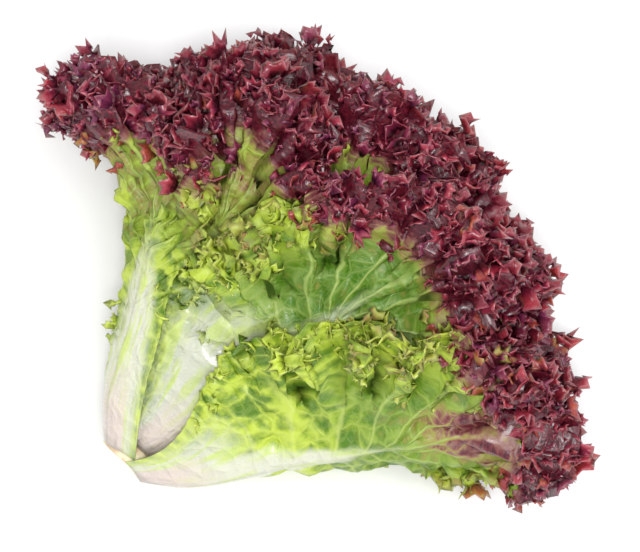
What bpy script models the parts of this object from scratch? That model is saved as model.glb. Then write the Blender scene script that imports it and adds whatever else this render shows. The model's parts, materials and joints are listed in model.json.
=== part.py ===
"""A head of lollo rosso lettuce, cut at its stem and laid down on its side.

The head is a stem with leaves round it, each leaf a turn of the golden angle from the last. Every
leaf lies on its own shell, and the shells nest from the outermost leaf to the heart, so that no two
leaves cross. The stem points along +Y and the fan of leaves spreads along X. Lengths are in
millimetres and angles in degrees until the meshes are made, which are in metres.
"""

import math
from collections import namedtuple

import bpy
import numpy as np
from mathutils.bvhtree import BVHTree

MILLIMETRE = 0.001

# The head
REACH = 198.0  # from the cut to the furthest frills
LEAN_SIDE = 45.0  # how far the outermost leaves lean from the stem's line, to either side
LEAN_UP = 23.0
LEAN_DOWN = 14.5
RISE = 14.0  # the stem's line above the surface that the head lies on
GOLDEN_ANGLE = 137.5
FIRST_LEAF_AT = 165.0  # round the stem: 0 is the side at -X, 90 is the top
LEAF_COUNT = 20
SHELL_STEP = 0.038  # share of the lean that each leaf loses to the one before it
RESTING_DEPTH = 3.6  # how much of the lowest leaves the surface presses flat

# The stem
STEM_RADIUS = 11.5
STEM_TIP_RADIUS = 2.2
STEM_LENGTH = 60.0
STEM_SIDES = 18
CUT_BEVEL = 1.0
ROOT_STEP = 2.8  # up the stem from one leaf's root to the next
ROOT_GAP = 0.5  # between a leaf's root and the stem

# A leaf
SHORTER_BY = {
    0: 6.0, 1: 24.0, 4: 32.0, 5: 7.0, 6: 8.0, 9: 25.0,
    11: -5.0, 12: 4.0, 14: 6.0, 15: -4.0, 16: -7.0,
}
TURNED = {0: -12.0, 1: 12.0}  # what some leaves are turned round the stem from their place
LEAN_MORE = {0: 2.5, 1: -7.0, 4: -7.0}  # what they lean beyond their shells, to the side
BEND = {0: 2.0, 1: 18.0, 4: 10.0}  # how far their tips bend outwards
HALF_WIDTH = {0: 66.0, 1: 42.0, 3: 58.0, 4: 46.0, 6: 46.0}
SHOULDER = {0: 0.22, 3: 0.20, 1: 0.62, 4: 0.62, 6: 0.52, 9: 0.50, 14: 0.50}  # where they grow wide
BLADE = 1.0  # thickness
RIB_THICK = 1.9  # the rib's height at the root of an outer leaf
OUTER_RIB_THICK = 3.4
RIB_WIDE = 7.0
FOOT = 1.1  # half the width of a leaf's foot, as a share of the stem's radius there
FOOT_WIDER = {1: 1.2, 3: 1.4}  # the broad feet of the two leaves on top
WAVE = 0.8  # the frill's height where leaves have the most room, by the space between columns
TOOTH = 4.5  # how far the frill's points stand out beyond the margin
SWELL = 2.5  # slow waves of the whole blade
ROWS = (0.0, 0.34, 0.66, 0.86, 1.0)  # from the rib to the margin
ROW_WAVE = (0.0, 0.0, 0.16, 0.6, 1.0)  # share of the frill's height at each row
TIP_RIB = 0.56  # where along the leaf the rib ends in the fan of veins at the tip
SEED = 7

# How near two leaves may come before their waves are calmed
CLEARANCE = 0.35
CALM_ROUNDS = 24
CALM_FACTOR = 0.72

FRILL_RED = (0.13, 0.012, 0.035, 1.0)
BLADE_GREEN = (0.30, 0.48, 0.07, 1.0)
STEM_CREAM = (0.80, 0.74, 0.50, 1.0)
RED_FROM = 0.66  # share of a leaf's length where its red begins

Leaf = namedtuple("Leaf", "number around shell length half_width columns")


def leaf_plan(number):
    """The place and size of a leaf, from its number: 0 is the outermost."""
    shell = 1.0 - SHELL_STEP * number
    around = (FIRST_LEAF_AT - GOLDEN_ANGLE * number + TURNED.get(number, 0.0)) % 360.0
    up = math.sin(math.radians(around))
    root = ROOT_STEP * number
    shorter = 20.0 * max(up, 0.0) * shell**2 + 0.05 * number**1.5
    length = REACH - root - shorter - SHORTER_BY.get(number, 0.0)
    half_width = HALF_WIDTH.get(number, 54.0 * min(1.0, 0.36 + 0.9 * shell))
    columns = 30 if number < 10 else 24 if number < 15 else 16
    return Leaf(number, around, shell, length, half_width, columns)


def smooth(x, start, end):
    """0 before start, 1 after end, and an even S between them."""
    t = np.clip((x - start) / (end - start), 0.0, 1.0)
    return t * t * (3.0 - 2.0 * t)


def stem_radius(up):
    return STEM_RADIUS + (STEM_TIP_RADIUS - STEM_RADIUS) * np.clip(up / STEM_LENGTH, 0.0, 1.0)


def shell_point(leaf, along, around):
    """The point of a leaf's shell at a distance from its root, at an angle round the stem."""
    root = ROOT_STEP * leaf.number + 0.5
    ring = stem_radius(root) + ROOT_GAP + 0.5 * BLADE
    across, up = np.cos(around), np.sin(around)
    share = along / leaf.length
    opening = 1.2 - 0.2 * smooth(share, 0.0, 0.35)
    bending = BEND.get(leaf.number, 3.0) * smooth(share, 0.6, 1.0)
    bending = bending + LEAN_MORE.get(leaf.number, 0.0)
    side = np.radians((LEAN_SIDE * leaf.shell * opening + bending) * across)
    middle, tilt = 0.5 * (LEAN_UP + LEAN_DOWN), 0.5 * (LEAN_UP - LEAN_DOWN)
    boxed = 1.0 + np.where(up < 0.0, 0.25, -0.12) * across**2
    lift = np.radians((middle + tilt * up) * leaf.shell * opening * up * boxed)
    return np.stack(
        [
            -(ring * across + along * np.sin(side) * np.cos(lift)),
            root + along * np.cos(side) * np.cos(lift),
            ring * up + along * np.sin(lift),
        ],
        axis=-1,
    )


def on_shell(leaf, across, along):
    """Lays a flat leaf's points, across and along it, on its shell by walking round from the rib."""
    steps, nudge = 16, 0.01
    around = np.full(np.shape(across), math.radians(leaf.around))
    for _ in range(steps):
        ahead = shell_point(leaf, along, around + nudge)
        behind = shell_point(leaf, along, around - nudge)
        speed = np.linalg.norm(ahead - behind, axis=-1) / (2.0 * nudge)
        around = around + across / steps / np.maximum(speed, 4.0)
    return shell_point(leaf, along, around), around


def margin_width(leaf, share):
    """Half the leaf's width at a share of its length: a narrow foot that opens to a round end."""
    shoulder = SHOULDER.get(leaf.number, 0.36)
    body = smooth(share, shoulder - 0.22, shoulder + 0.26)
    wider = FOOT_WIDER.get(leaf.number, 1.0)
    foot = FOOT * wider * (0.5 + 0.5 * leaf.shell) * stem_radius(ROOT_STEP * leaf.number)
    return (foot + (leaf.half_width - foot) * body) * np.sqrt(1.0 - share**6)


def rib_foot(share):
    """Where the vein that ends at a share of the length leaves the rib, as a share of it too."""
    return TIP_RIB * (1.0 - (1.0 - share) ** (1.0 / TIP_RIB))


def margin_shares(leaf):
    """Shares of the length where the margin's columns stand, even along the frilled margin."""
    share = 0.5 - 0.5 * np.cos(np.linspace(0.0, math.pi, 400))
    wide, far = margin_width(leaf, share), share * leaf.length
    run = np.hypot(np.diff(wide), np.diff(far)) * (0.4 + 0.6 * smooth(share[1:], 0.05, 0.25))
    run = np.concatenate([[0.0], np.cumsum(run)])
    pace = run[-1] / leaf.columns
    return np.interp(np.linspace(0.0, run[-1], leaf.columns + 1), run, share), pace


def leaf_grid(leaf):
    """The leaf's flat points, their part in the waves and the triangles that join them."""
    shares, pace = margin_shares(leaf)
    rng = np.random.default_rng(SEED + leaf.number)
    points, waves, index = [], [], {}
    last = leaf.columns

    def vertex(side, column, row):
        """The number of a grid point. The rib and the tip's column belong to both sides."""
        if row == 0 and rib_foot(shares[column]) > 0.97 * TIP_RIB:
            column = last
        key = (0 if row == 0 or column == last else side, column, row)
        if key not in index:
            share = shares[column]
            foot = rib_foot(share) * leaf.length
            reach = ROWS[row]
            wide = margin_width(leaf, share)
            length = math.hypot(wide, leaf.length * share - foot) + 1e-6
            frilled = smooth(share, 0.08, 0.36) * smooth(length, 4.0, 32.0) * ROW_WAVE[row]
            tooth = TOOTH * frilled * (rng.uniform(0.5, 1.0) if column % 2 else rng.uniform(-0.5, 0.0))
            reach_out = reach + reach * tooth / length
            across = side * wide * reach_out if column < last else 0.0
            along = foot + (leaf.length * share - foot) * reach_out
            wave = WAVE * pace * frilled * rng.uniform(0.7, 1.0) * (1 if column % 2 else -1)
            index[key] = len(points)
            points.append((across, along))
            waves.append((wave, share, reach))
        return index[key]

    faces = []
    for side in (-1, 1):
        for row in range(len(ROWS) - 1):
            coarse, fine = row < 2, row < 1
            for column in range(0, last, 2 if coarse else 1):
                right = min(column + (2 if coarse else 1), last)
                a, b = vertex(side, column, row), vertex(side, right, row)
                d, c = vertex(side, column, row + 1), vertex(side, right, row + 1)
                if coarse and not fine and right - column == 2:
                    e = vertex(side, column + 1, row + 1)
                    new = [(a, e, d), (a, b, e), (b, c, e)]
                elif (column + row) % 2:
                    new = [(a, b, c), (a, c, d)]
                else:
                    new = [(a, b, d), (b, c, d)]
                faces += [f if side > 0 else f[::-1] for f in new if len(set(f)) == 3]
    return np.array(points), np.array(waves), np.array(faces)


def face_normals(points, faces):
    a, b, c = (points[faces[:, i]] for i in range(3))
    return np.cross(b - a, c - a)


def vertex_normals(points, faces):
    """Unit normals at the points, from the faces round each one."""
    normals = np.zeros_like(points)
    for corner in range(3):
        np.add.at(normals, faces[:, corner], face_normals(points, faces))
    return normals / np.maximum(np.linalg.norm(normals, axis=1, keepdims=True), 1e-9)


def fold_cosines(points, faces):
    """How flat the skin is at each point: 1 in a flat place and less on a sharp fold."""
    unit = face_normals(points, faces)
    unit /= np.maximum(np.linalg.norm(unit, axis=1, keepdims=True), 1e-9)
    total, count = np.zeros_like(points), np.zeros(len(points))
    for corner in range(3):
        np.add.at(total, faces[:, corner], unit)
        np.add.at(count, faces[:, corner], 1.0)
    return np.linalg.norm(total, axis=1) / np.maximum(count, 1.0)


def laid_down(points):
    """Turns the head's own axes to the surface's: the stem's line rises by RISE from it."""
    c, s = math.cos(math.radians(RISE)), math.sin(math.radians(RISE))
    x, y, z = points[..., 0], points[..., 1], points[..., 2]
    z_up = y * s + z * c
    bottom, slope, soft = -14.0, 0.5, 3.0
    over = z_up - bottom
    pressed = bottom + 0.5 * (1 + slope) * over + 0.5 * (1 - slope) * (np.hypot(over, soft) - soft)
    return np.stack([x, y * c - z * s, pressed], axis=-1)


class LeafShape:
    """One leaf: its smooth surface, its waves, and how far they have been calmed."""

    def __init__(self, leaf):
        self.leaf = leaf
        flat, waves, self.faces = leaf_grid(leaf)
        self.surface, around = on_shell(leaf, flat[:, 0], flat[:, 1])
        self.share, self.reach = waves[:, 1], waves[:, 2]
        self.out = vertex_normals(self.surface, self.faces)
        middle = self.surface - np.array([0.0, 1.0, 0.0]) * self.surface[:, 1:2]
        if np.sum(self.out * middle) < 0.0:
            self.out, self.faces = -self.out, self.faces[:, ::-1]
        across, up = np.cos(around), np.sin(around)
        vertical = np.where(up > 0.0, LEAN_UP, LEAN_DOWN)
        room = np.hypot(across * LEAN_SIDE, up * vertical) / LEAN_SIDE
        slow = np.sin(flat[:, 0] / 13.0 + leaf.number * 1.7) * np.sin(flat[:, 1] / 24.0 + leaf.number)
        slow = SWELL * slow * self.reach * smooth(self.share, 0.1, 0.4)
        self.wave = (waves[:, 0] + slow) * room * (0.45 + 0.55 * leaf.shell)
        self.calm = np.ones(len(flat))
        narrowing = np.clip(1.0 - flat[:, 1] / leaf.length, 0.0, 1.0)
        rib = np.exp(-((flat[:, 0] / (RIB_WIDE * (0.4 + 0.6 * narrowing))) ** 2))
        height = RIB_THICK if leaf.number > 2 else OUTER_RIB_THICK
        height = height * (0.35 + 0.65 * leaf.shell) * (0.12 + 0.88 * narrowing**1.2)
        self.rib = height * rib * (0.5 + 0.5 * smooth(self.share, 0.0, 0.12))

    def solid(self):
        """The closed blade: outer points, then inner ones, and the triangles of its skin."""
        middle = laid_down(self.surface + self.out * (self.wave * self.calm)[:, None])
        normals, folded = vertex_normals(middle, self.faces), fold_cosines(middle, self.faces)
        half = 0.5 * BLADE / np.maximum(folded, 0.55)
        outer = middle + normals * (half + self.rib)[:, None]
        inner = middle - normals * half[:, None]
        count = len(middle)
        edges = {}
        for a, b, c in self.faces:
            for one, two in ((a, b), (b, c), (c, a)):
                edges[(one, two)] = True
        rim = [(a, b) for a, b in edges if (b, a) not in edges]
        sides = []
        for a, b in rim:
            sides += [(b, a, a + count), (b, a + count, b + count)]
        skin = np.concatenate([self.faces, self.faces[:, ::-1] + count, np.array(sides)])
        return np.concatenate([outer, inner]), skin


def pressed_flat(points, count, surface):
    """Lifts each pair of outer and inner points so that the lower one isn't under the surface."""
    low = np.minimum(points[:count, 2], points[count:, 2]) - surface
    lift = np.maximum(-low, 0.0)
    lifted = points.copy()
    lifted[:count, 2] += lift
    lifted[count:, 2] += lift
    return lifted


def touching(first, second):
    """The points of two leaves that are in triangles which touch."""
    pairs = first[0].overlap(second[0])
    if not pairs:
        return None
    one, two = zip(*pairs)
    return first[1][list(set(one))], second[1][list(set(two))]


def crossing_itself(points, faces):
    """The triangles of one leaf that cross others which they share no corner with."""
    tree = BVHTree.FromPolygons(points.tolist(), faces.tolist(), epsilon=0.0)
    corners = [set(face) for face in faces.tolist()]
    return [a for a, b in tree.overlap(tree) if not corners[a] & corners[b]]


def calm_waves(shapes, stem):
    """Lowers the waves where two leaves touch, until they are clear of each other."""
    for _ in range(CALM_ROUNDS):
        solids = [shape.solid() for shape in shapes]
        surface = min(points[:, 2].min() for points, _ in solids) + RESTING_DEPTH
        solids = [(pressed_flat(p, len(p) // 2, surface), f) for p, f in solids]
        trees = [
            (BVHTree.FromPolygons(p.tolist(), f.tolist(), epsilon=CLEARANCE), f)
            for p, f in solids + [stem]
        ]
        busy = 0
        for i, first in enumerate(trees):
            for j in range(i + 1, len(trees)):
                found = touching(first, trees[j])
                if found is None:
                    continue
                busy += 1
                for which, faces in ((i, found[0]), (j, found[1])):
                    if which < len(shapes):
                        touched = np.unique(faces % len(shapes[which].calm))
                        shapes[which].calm[touched] *= CALM_FACTOR
        for shape, (points, faces) in zip(shapes, solids):
            crossed = crossing_itself(points, faces)
            if crossed:
                busy += 1
                shape.calm[np.unique(faces[crossed] % len(shape.calm))] *= CALM_FACTOR
        print("leaves that touch:", busy)
        if not busy:
            break
    return solids, surface


def stem_solid():
    """The stem as rings from its bevelled cut to its growing tip."""
    rings = [
        (STEM_RADIUS - CUT_BEVEL, 0.0),
        (STEM_RADIUS - 0.2 * CUT_BEVEL, 0.4 * CUT_BEVEL),
    ]
    rings += [(float(stem_radius(up)), up) for up in (6.0, 24.0, 42.0, STEM_LENGTH)]
    turns = [2.0 * math.pi * i / STEM_SIDES for i in range(STEM_SIDES)]
    points = [(r * math.cos(t), y, r * math.sin(t)) for r, y in rings for t in turns]
    points += [(0.0, 0.0, 0.0), (0.0, STEM_LENGTH + 1.5, 0.0)]
    base, tip = len(points) - 2, len(points) - 1
    faces = []
    for ring in range(len(rings) - 1):
        for i in range(STEM_SIDES):
            a, b = ring * STEM_SIDES + i, ring * STEM_SIDES + (i + 1) % STEM_SIDES
            c, d = b + STEM_SIDES, a + STEM_SIDES
            faces += [(a, d, c), (a, c, b)]
    for i in range(STEM_SIDES):
        j = (i + 1) % STEM_SIDES
        faces.append((base, i, j))
        top = (len(rings) - 1) * STEM_SIDES
        faces.append((tip, top + j, top + i))
    return laid_down(np.array(points)), np.array(faces)


def material(name, colour, roughness):
    made = bpy.data.materials.new(name)
    made.use_nodes = True
    shader = made.node_tree.nodes["Principled BSDF"]
    shader.inputs["Base Color"].default_value = colour
    shader.inputs["Roughness"].default_value = roughness
    return made


def add_object(name, points, faces, materials):
    """One sub-part: points in millimetres, with its origin at the head's own."""
    mesh = bpy.data.meshes.new(name)
    mesh.from_pydata((points * MILLIMETRE).tolist(), [], faces.tolist())
    for made in materials:
        mesh.materials.append(made)
    mesh.validate()
    made = bpy.data.objects.new(name, mesh)
    bpy.context.scene.collection.objects.link(made)
    return made


def main():
    for old in list(bpy.data.objects):
        bpy.data.objects.remove(old)
    green = material("leaf_green", BLADE_GREEN, 0.45)
    red = material("leaf_red", FRILL_RED, 0.35)
    cream = material("stem_cream", STEM_CREAM, 0.5)

    stem_points, stem_faces = stem_solid()
    shapes = [LeafShape(leaf_plan(number)) for number in range(LEAF_COUNT)]
    solids, surface = calm_waves(shapes, (stem_points, stem_faces))

    leaves = np.concatenate([points for points, _ in solids])
    low, high = leaves.min(axis=0), leaves.max(axis=0)
    low, high = np.minimum(low, stem_points.min(axis=0)), np.maximum(high, stem_points.max(axis=0))
    origin = np.array([0.5 * (low[0] + high[0]), 0.5 * (low[1] + high[1]), surface])

    add_object("stem", stem_points - origin, stem_faces, [cream])
    for shape, (points, faces) in zip(shapes, solids):
        leaf = shape.leaf
        made = add_object(f"leaf_{leaf.number + 1:02d}", points - origin, faces, [green, red])
        share = np.concatenate([shape.share, shape.share])
        reach = np.concatenate([shape.reach, shape.reach])
        for face in made.data.polygons:
            corners = list(face.vertices)
            is_red = share[corners].mean() * reach[corners].mean() > RED_FROM
            face.material_index = 1 if is_red else 0
        made.data.shade_smooth()


main()
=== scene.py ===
# %% [markdown]
# # A lollo rosso lettuce, lying on its side
#
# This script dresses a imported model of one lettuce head. The model gives every leaf its place and
# its main shape as a plain solid. Here each leaf is made again as a fine blade with ribs, veins,
# blisters and a dense frill, and gets a finish that runs from the white foot through pale green to
# the dark red margin. The pieces are made in the order in which a grower would see them: the
# ground and the light, the plan of the head, the blades, the frills, the skin and the cut stem.

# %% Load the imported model
import bmesh
import json
import math
from collections import namedtuple

import bpy
import numpy as np
from mathutils import Matrix, Vector
from mathutils.bvhtree import BVHTree

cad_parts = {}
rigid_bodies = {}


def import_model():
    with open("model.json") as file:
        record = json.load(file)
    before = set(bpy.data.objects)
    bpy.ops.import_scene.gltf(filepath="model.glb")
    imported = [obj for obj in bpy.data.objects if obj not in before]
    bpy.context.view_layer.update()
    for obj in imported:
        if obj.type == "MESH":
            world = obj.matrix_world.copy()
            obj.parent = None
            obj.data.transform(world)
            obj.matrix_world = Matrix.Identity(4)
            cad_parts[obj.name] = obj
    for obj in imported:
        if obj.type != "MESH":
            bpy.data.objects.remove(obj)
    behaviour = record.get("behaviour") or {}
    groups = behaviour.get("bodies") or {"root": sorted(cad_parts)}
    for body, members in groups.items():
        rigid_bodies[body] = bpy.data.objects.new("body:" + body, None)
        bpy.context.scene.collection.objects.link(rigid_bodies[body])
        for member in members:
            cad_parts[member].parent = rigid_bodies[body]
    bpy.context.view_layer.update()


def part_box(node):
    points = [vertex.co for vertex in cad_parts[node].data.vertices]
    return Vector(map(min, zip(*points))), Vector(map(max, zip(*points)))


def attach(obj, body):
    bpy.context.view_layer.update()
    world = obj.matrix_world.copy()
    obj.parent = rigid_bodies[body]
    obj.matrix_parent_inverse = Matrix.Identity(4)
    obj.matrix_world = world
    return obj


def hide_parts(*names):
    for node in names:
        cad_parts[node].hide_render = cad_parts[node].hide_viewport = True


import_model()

MILLIMETRE = 0.001
STEM_RADIUS = 11.5  # mm, at the cut
ROOT_BODY = "root"

# %% [markdown]
# ## Camera
#
# The photo looks straight down on the side of the head, at a right angle to the stem's line, from
# far enough away that nothing is drawn out of proportion. The stem's line is seen half-way between
# level and upright, rising to the right. So the camera is set from three things: how high it
# stands, how far it is rolled, and where in the picture the cut stem is.

# %% Camera
IMAGE_WIDE, IMAGE_HIGH = 640, 552
PIXELS_PER_MM = 2.39
CUT_PIXEL = (121.0, 464.0)
CAMERA_ELEVATION = math.radians(74.0)
STEM_LINE_IN_VIEW = math.radians(50.0)  # above the picture's level
CAMERA_DISTANCE_MM = 1100.0
SENSOR_MM = 36.0

stem_low, stem_high = (np.array(corner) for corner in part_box("stem"))
cut_height = stem_low[2] + STEM_RADIUS * MILLIMETRE
cut_centre = np.array([0.5 * (stem_low[0] + stem_high[0]), stem_low[1], cut_height])

tilt = Matrix.Rotation(0.5 * math.pi - CAMERA_ELEVATION, 4, "X")
roll = Matrix.Rotation(0.5 * math.pi - STEM_LINE_IN_VIEW, 4, "Z")
from_cut = Vector((0.5 * IMAGE_WIDE - CUT_PIXEL[0], CUT_PIXEL[1] - 0.5 * IMAGE_HIGH, 0.0)) / PIXELS_PER_MM
from_cut.z = CAMERA_DISTANCE_MM
placing = tilt @ roll @ Matrix.Translation(from_cut * MILLIMETRE)

camera_data = bpy.data.cameras.new("camera")
camera_data.sensor_width = SENSOR_MM
camera_data.lens = SENSOR_MM * CAMERA_DISTANCE_MM * PIXELS_PER_MM / IMAGE_WIDE
camera_data.clip_end = 20.0
camera = bpy.data.objects.new("camera", camera_data)
bpy.context.scene.collection.objects.link(camera)
camera.matrix_world = Matrix.Translation(cut_centre) @ placing
bpy.context.scene.camera = camera
bpy.context.scene.view_settings.view_transform = "Standard"
print("camera lens in mm:", round(camera_data.lens, 1))

# %% [markdown]
# ## Short calls for node trees
#
# A node tree is quicker to read when its sums are written as sums. A `Wire` stands for one output of
# a node: adding, multiplying or dividing wires makes the Math nodes for it, in the wires' own tree.
# `add` makes any other node with its options and inputs, and `wire` gives that node's output.
# `ramp` is the smooth step that turns a measure into a mask from 0 to 1.

# %% Helpers for node trees
class Wire:
    """An output of a node, to do sums with."""

    def __init__(self, socket):
        self.socket = socket
        self.tree = socket.id_data

    def __add__(self, other):
        return calc("ADD", self, other)

    def __sub__(self, other):
        return calc("SUBTRACT", self, other)

    def __rsub__(self, other):
        return calc("SUBTRACT", other, self)

    def __mul__(self, other):
        return calc("MULTIPLY", self, other)

    def __truediv__(self, other):
        return calc("DIVIDE", self, other)

    def __rtruediv__(self, other):
        return calc("DIVIDE", other, self)


def give(socket, value):
    """Sets a socket's own value, or joins it to another node's output."""
    if isinstance(value, Wire):
        value.tree.links.new(value.socket, socket)
    else:
        socket.default_value = value


def add(tree, kind, inputs=None, **options):
    made = tree.nodes.new(kind)
    for name, value in options.items():
        setattr(made, name, value)
    for name, value in (inputs or {}).items():
        give(made.inputs[name], value)
    return made


def wire(tree, kind, inputs=None, output=0, **options):
    return Wire(add(tree, kind, inputs, **options).outputs[output])


def calc(operation, *values):
    tree = next(value.tree for value in values if isinstance(value, Wire))
    return wire(tree, "ShaderNodeMath", dict(enumerate(values)), operation=operation)


def ramp(value, start, end):
    """0 up to start, 1 from end, with an even S between them."""
    entries = dict(enumerate((value, start, end, 0.0, 1.0)))
    return wire(value.tree, "ShaderNodeMapRange", entries, interpolation_type="SMOOTHSTEP")


def vector_sum(operation, total, *vectors):
    for vector in vectors:
        total = wire(total.tree, "ShaderNodeVectorMath", {0: total, 1: vector}, operation=operation)
    return total


def scaled(vector, factor):
    return wire(vector.tree, "ShaderNodeVectorMath", {0: vector, "Scale": factor}, operation="SCALE")


def split(vector):
    """The three parts of a vector."""
    return [Wire(part) for part in add(vector.tree, "ShaderNodeSeparateXYZ", {0: vector}).outputs]


def mixed(mask, first, second):
    """The first colour where the mask is 0, and the second where it is 1."""
    return wire(mask.tree, "ShaderNodeMix", {0: mask, 6: first, 7: second}, 2, data_type="RGBA")


def open_group(tree, kinds, numbers):
    """Gives a tree its named inputs, and returns the wires that come from them."""
    for name, kind in kinds.items():
        tree.interface.new_socket(name, in_out="INPUT", socket_type=f"NodeSocket{kind}")
    for name, value in numbers.items():
        made = tree.interface.new_socket(name, in_out="INPUT", socket_type="NodeSocketFloat")
        made.default_value = value
    return {socket.name: Wire(socket) for socket in tree.nodes.new("NodeGroupInput").outputs}


def paint(red, green, blue):
    """A colour that is read off a screen, 0 to 255, as the linear values that shaders use."""
    def linear(value):
        value /= 255.0
        return value / 12.92 if value <= 0.04045 else ((value + 0.055) / 1.055) ** 2.4

    return (linear(red), linear(green), linear(blue), 1.0)


def linked(name, data):
    """A new object with this data, put in the scene."""
    made = bpy.data.objects.new(name, data)
    bpy.context.scene.collection.objects.link(made)
    return made


print("a screen's middle grey as a shader's:", round(paint(128, 128, 128)[0], 3))

# %% [markdown]
# ## Ground and light
#
# The head lies on a plain, nearly white ground. Three soft lamps light it as a studio would: a main
# one that stands high and a little towards the cut stem, a weaker one from the right of the crown,
# and a large one above that keeps the floor pale. Large lamps give the wide, soft highlights that
# wet leaves show.

# %% Floor, world and lamps
FLOOR_HALF = 3.0
FLOOR_DROP = 0.0002  # the ground is a hair lower than the leaves that lie on it
PAPER_WHITE = (0.90, 0.90, 0.90, 1.0)
SKY_STRENGTH = 0.76
LAMPS_LOOK_AT = Vector((0.0, 0.0, 0.03))

paper = bpy.data.materials.new("floor_paper")
paper.use_nodes = True
paper.node_tree.nodes["Principled BSDF"].inputs["Base Color"].default_value = PAPER_WHITE
paper.node_tree.nodes["Principled BSDF"].inputs["Roughness"].default_value = 0.9
floor_mesh = bpy.data.meshes.new("floor")
CORNERS = ((-1, -1), (1, -1), (1, 1), (-1, 1))
corners = [(x * FLOOR_HALF, y * FLOOR_HALF, -FLOOR_DROP) for x, y in CORNERS]
floor_mesh.from_pydata(corners, [], [(0, 1, 2, 3)])
floor_mesh.materials.append(paper)
floor = linked("floor", floor_mesh)

world = bpy.data.worlds.new("world")
world.use_nodes = True
world.node_tree.nodes["Background"].inputs["Color"].default_value = (1.0, 1.0, 1.0, 1.0)
world.node_tree.nodes["Background"].inputs["Strength"].default_value = SKY_STRENGTH
bpy.context.scene.world = world

for name, place, watts, size in (
    ("main_lamp", (0.05, -0.5, 1.35), 9.0, 0.40),
    ("fill_lamp", (0.9, 0.5, 1.0), 4.0, 0.9),
    ("top_lamp", (0.1, -0.2, 1.6), 8.0, 1.2),
):
    data = bpy.data.lights.new(name, "AREA")
    data.energy = watts
    data.shape = "DISK"
    data.size = size
    aim = (LAMPS_LOOK_AT - Vector(place)).to_track_quat("-Z", "Y").to_matrix().to_4x4()
    linked(name, data).matrix_world = Matrix.Translation(place) @ aim
print("floor and three lamps are in place")

# %% [markdown]
# ## The plan of the head
#
# A lettuce grows one leaf at a time. Each new leaf stands a golden angle, 137.5 degrees, round the
# stem from the last, a little higher up the stem and leaning out less. So one number per leaf gives
# its whole place. Every leaf lies on a shell of its own, and the shells nest like bowls, so smooth
# blades can't cross. The numbers here are the ones the solids were built from. Lengths are in
# millimetres.

# %% Plan: which leaf is where
REACH = 198.0
LEAN_SIDE = 45.0
LEAN_UP = 23.0
LEAN_DOWN = 14.5
RISE = 14.0
GOLDEN_ANGLE = 137.5
FIRST_LEAF_AT = 165.0
LEAF_COUNT = 20
SHELL_STEP = 0.038

STEM_TIP_RADIUS = 2.2
STEM_LENGTH = 60.0
ROOT_STEP = 2.8
ROOT_GAP = 0.5
BLADE = 1.0

SHORTER_BY = {
    0: 6.0, 1: 24.0, 4: 32.0, 5: 7.0, 6: 8.0, 9: 25.0,
    11: -5.0, 12: 4.0, 14: 6.0, 15: -4.0, 16: -7.0,
}
TURNED = {0: -12.0, 1: 12.0}
LEAN_MORE = {0: 2.5, 1: -7.0, 4: -7.0}
BEND = {0: 2.0, 1: 18.0, 4: 10.0}
HALF_WIDTH = {0: 66.0, 1: 42.0, 3: 58.0, 4: 46.0, 6: 46.0}
SHOULDER = {0: 0.22, 3: 0.20, 1: 0.62, 4: 0.62, 6: 0.52, 9: 0.50, 14: 0.50}
FOOT = 1.1
FOOT_WIDER = {1: 1.2, 3: 1.4}
TIP_RIB = 0.56

OUTER_LEAVES = 12  # these get a finer net than the leaves within them
COLUMNS, INNER_COLUMNS = 192, 144

Leaf = namedtuple("Leaf", "number around shell length half_width columns")


def leaf_plan(number):
    """The place and size of a leaf, from its number: 0 is the outermost."""
    shell = 1.0 - SHELL_STEP * number
    around = (FIRST_LEAF_AT - GOLDEN_ANGLE * number + TURNED.get(number, 0.0)) % 360.0
    above = math.sin(math.radians(around))
    shorter = 20.0 * max(above, 0.0) * shell**2 + 0.05 * number**1.5
    length = REACH - ROOT_STEP * number - shorter - SHORTER_BY.get(number, 0.0)
    half_width = HALF_WIDTH.get(number, 54.0 * min(1.0, 0.36 + 0.9 * shell))
    columns = COLUMNS if number < OUTER_LEAVES else INNER_COLUMNS
    return Leaf(number, around, shell, length, half_width, columns)


LEAVES = [leaf_plan(number) for number in range(LEAF_COUNT)]
for leaf in LEAVES[:4]:
    print("leaf", leaf.number + 1, "at", round(leaf.around), "degrees, length", round(leaf.length), "mm")

# %% [markdown]
# ## The shell that a leaf lies on
#
# A point of a shell is given by how far it is from the leaf's root and by its angle round the stem.
# The shell leans out further to the sides than up or down, because a head that lies on a table
# spreads. A flat leaf is laid on its shell by walking sideways from the rib in small steps, so its
# width stays true. Last, all is tipped so that the stem rises a little from the floor, and what
# would hang below the floor is pressed up smoothly.

# %% Shells
def smooth(x, start, end):
    """0 before start, 1 after end, and an even S between them."""
    t = np.clip((np.asarray(x, dtype=float) - start) / (end - start), 0.0, 1.0)
    return t * t * (3.0 - 2.0 * t)


def stem_radius(height):
    return STEM_RADIUS + (STEM_TIP_RADIUS - STEM_RADIUS) * np.clip(height / STEM_LENGTH, 0.0, 1.0)


def shell_point(leaf, along, around):
    root = ROOT_STEP * leaf.number + 0.5
    ring = stem_radius(root) + ROOT_GAP + 0.5 * BLADE
    across, above = np.cos(around), np.sin(around)
    share = along / leaf.length
    opening = 1.2 - 0.2 * smooth(share, 0.0, 0.35)
    bending = BEND.get(leaf.number, 3.0) * smooth(share, 0.6, 1.0) + LEAN_MORE.get(leaf.number, 0.0)
    side = np.radians((LEAN_SIDE * leaf.shell * opening + bending) * across)
    middle, tilt = 0.5 * (LEAN_UP + LEAN_DOWN), 0.5 * (LEAN_UP - LEAN_DOWN)
    boxed = 1.0 + np.where(above < 0.0, 0.25, -0.12) * across**2
    lift = np.radians((middle + tilt * above) * leaf.shell * opening * above * boxed)
    return np.stack(
        [
            -(ring * across + along * np.sin(side) * np.cos(lift)),
            root + along * np.cos(side) * np.cos(lift),
            ring * above + along * np.sin(lift),
        ],
        axis=-1,
    )


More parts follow.
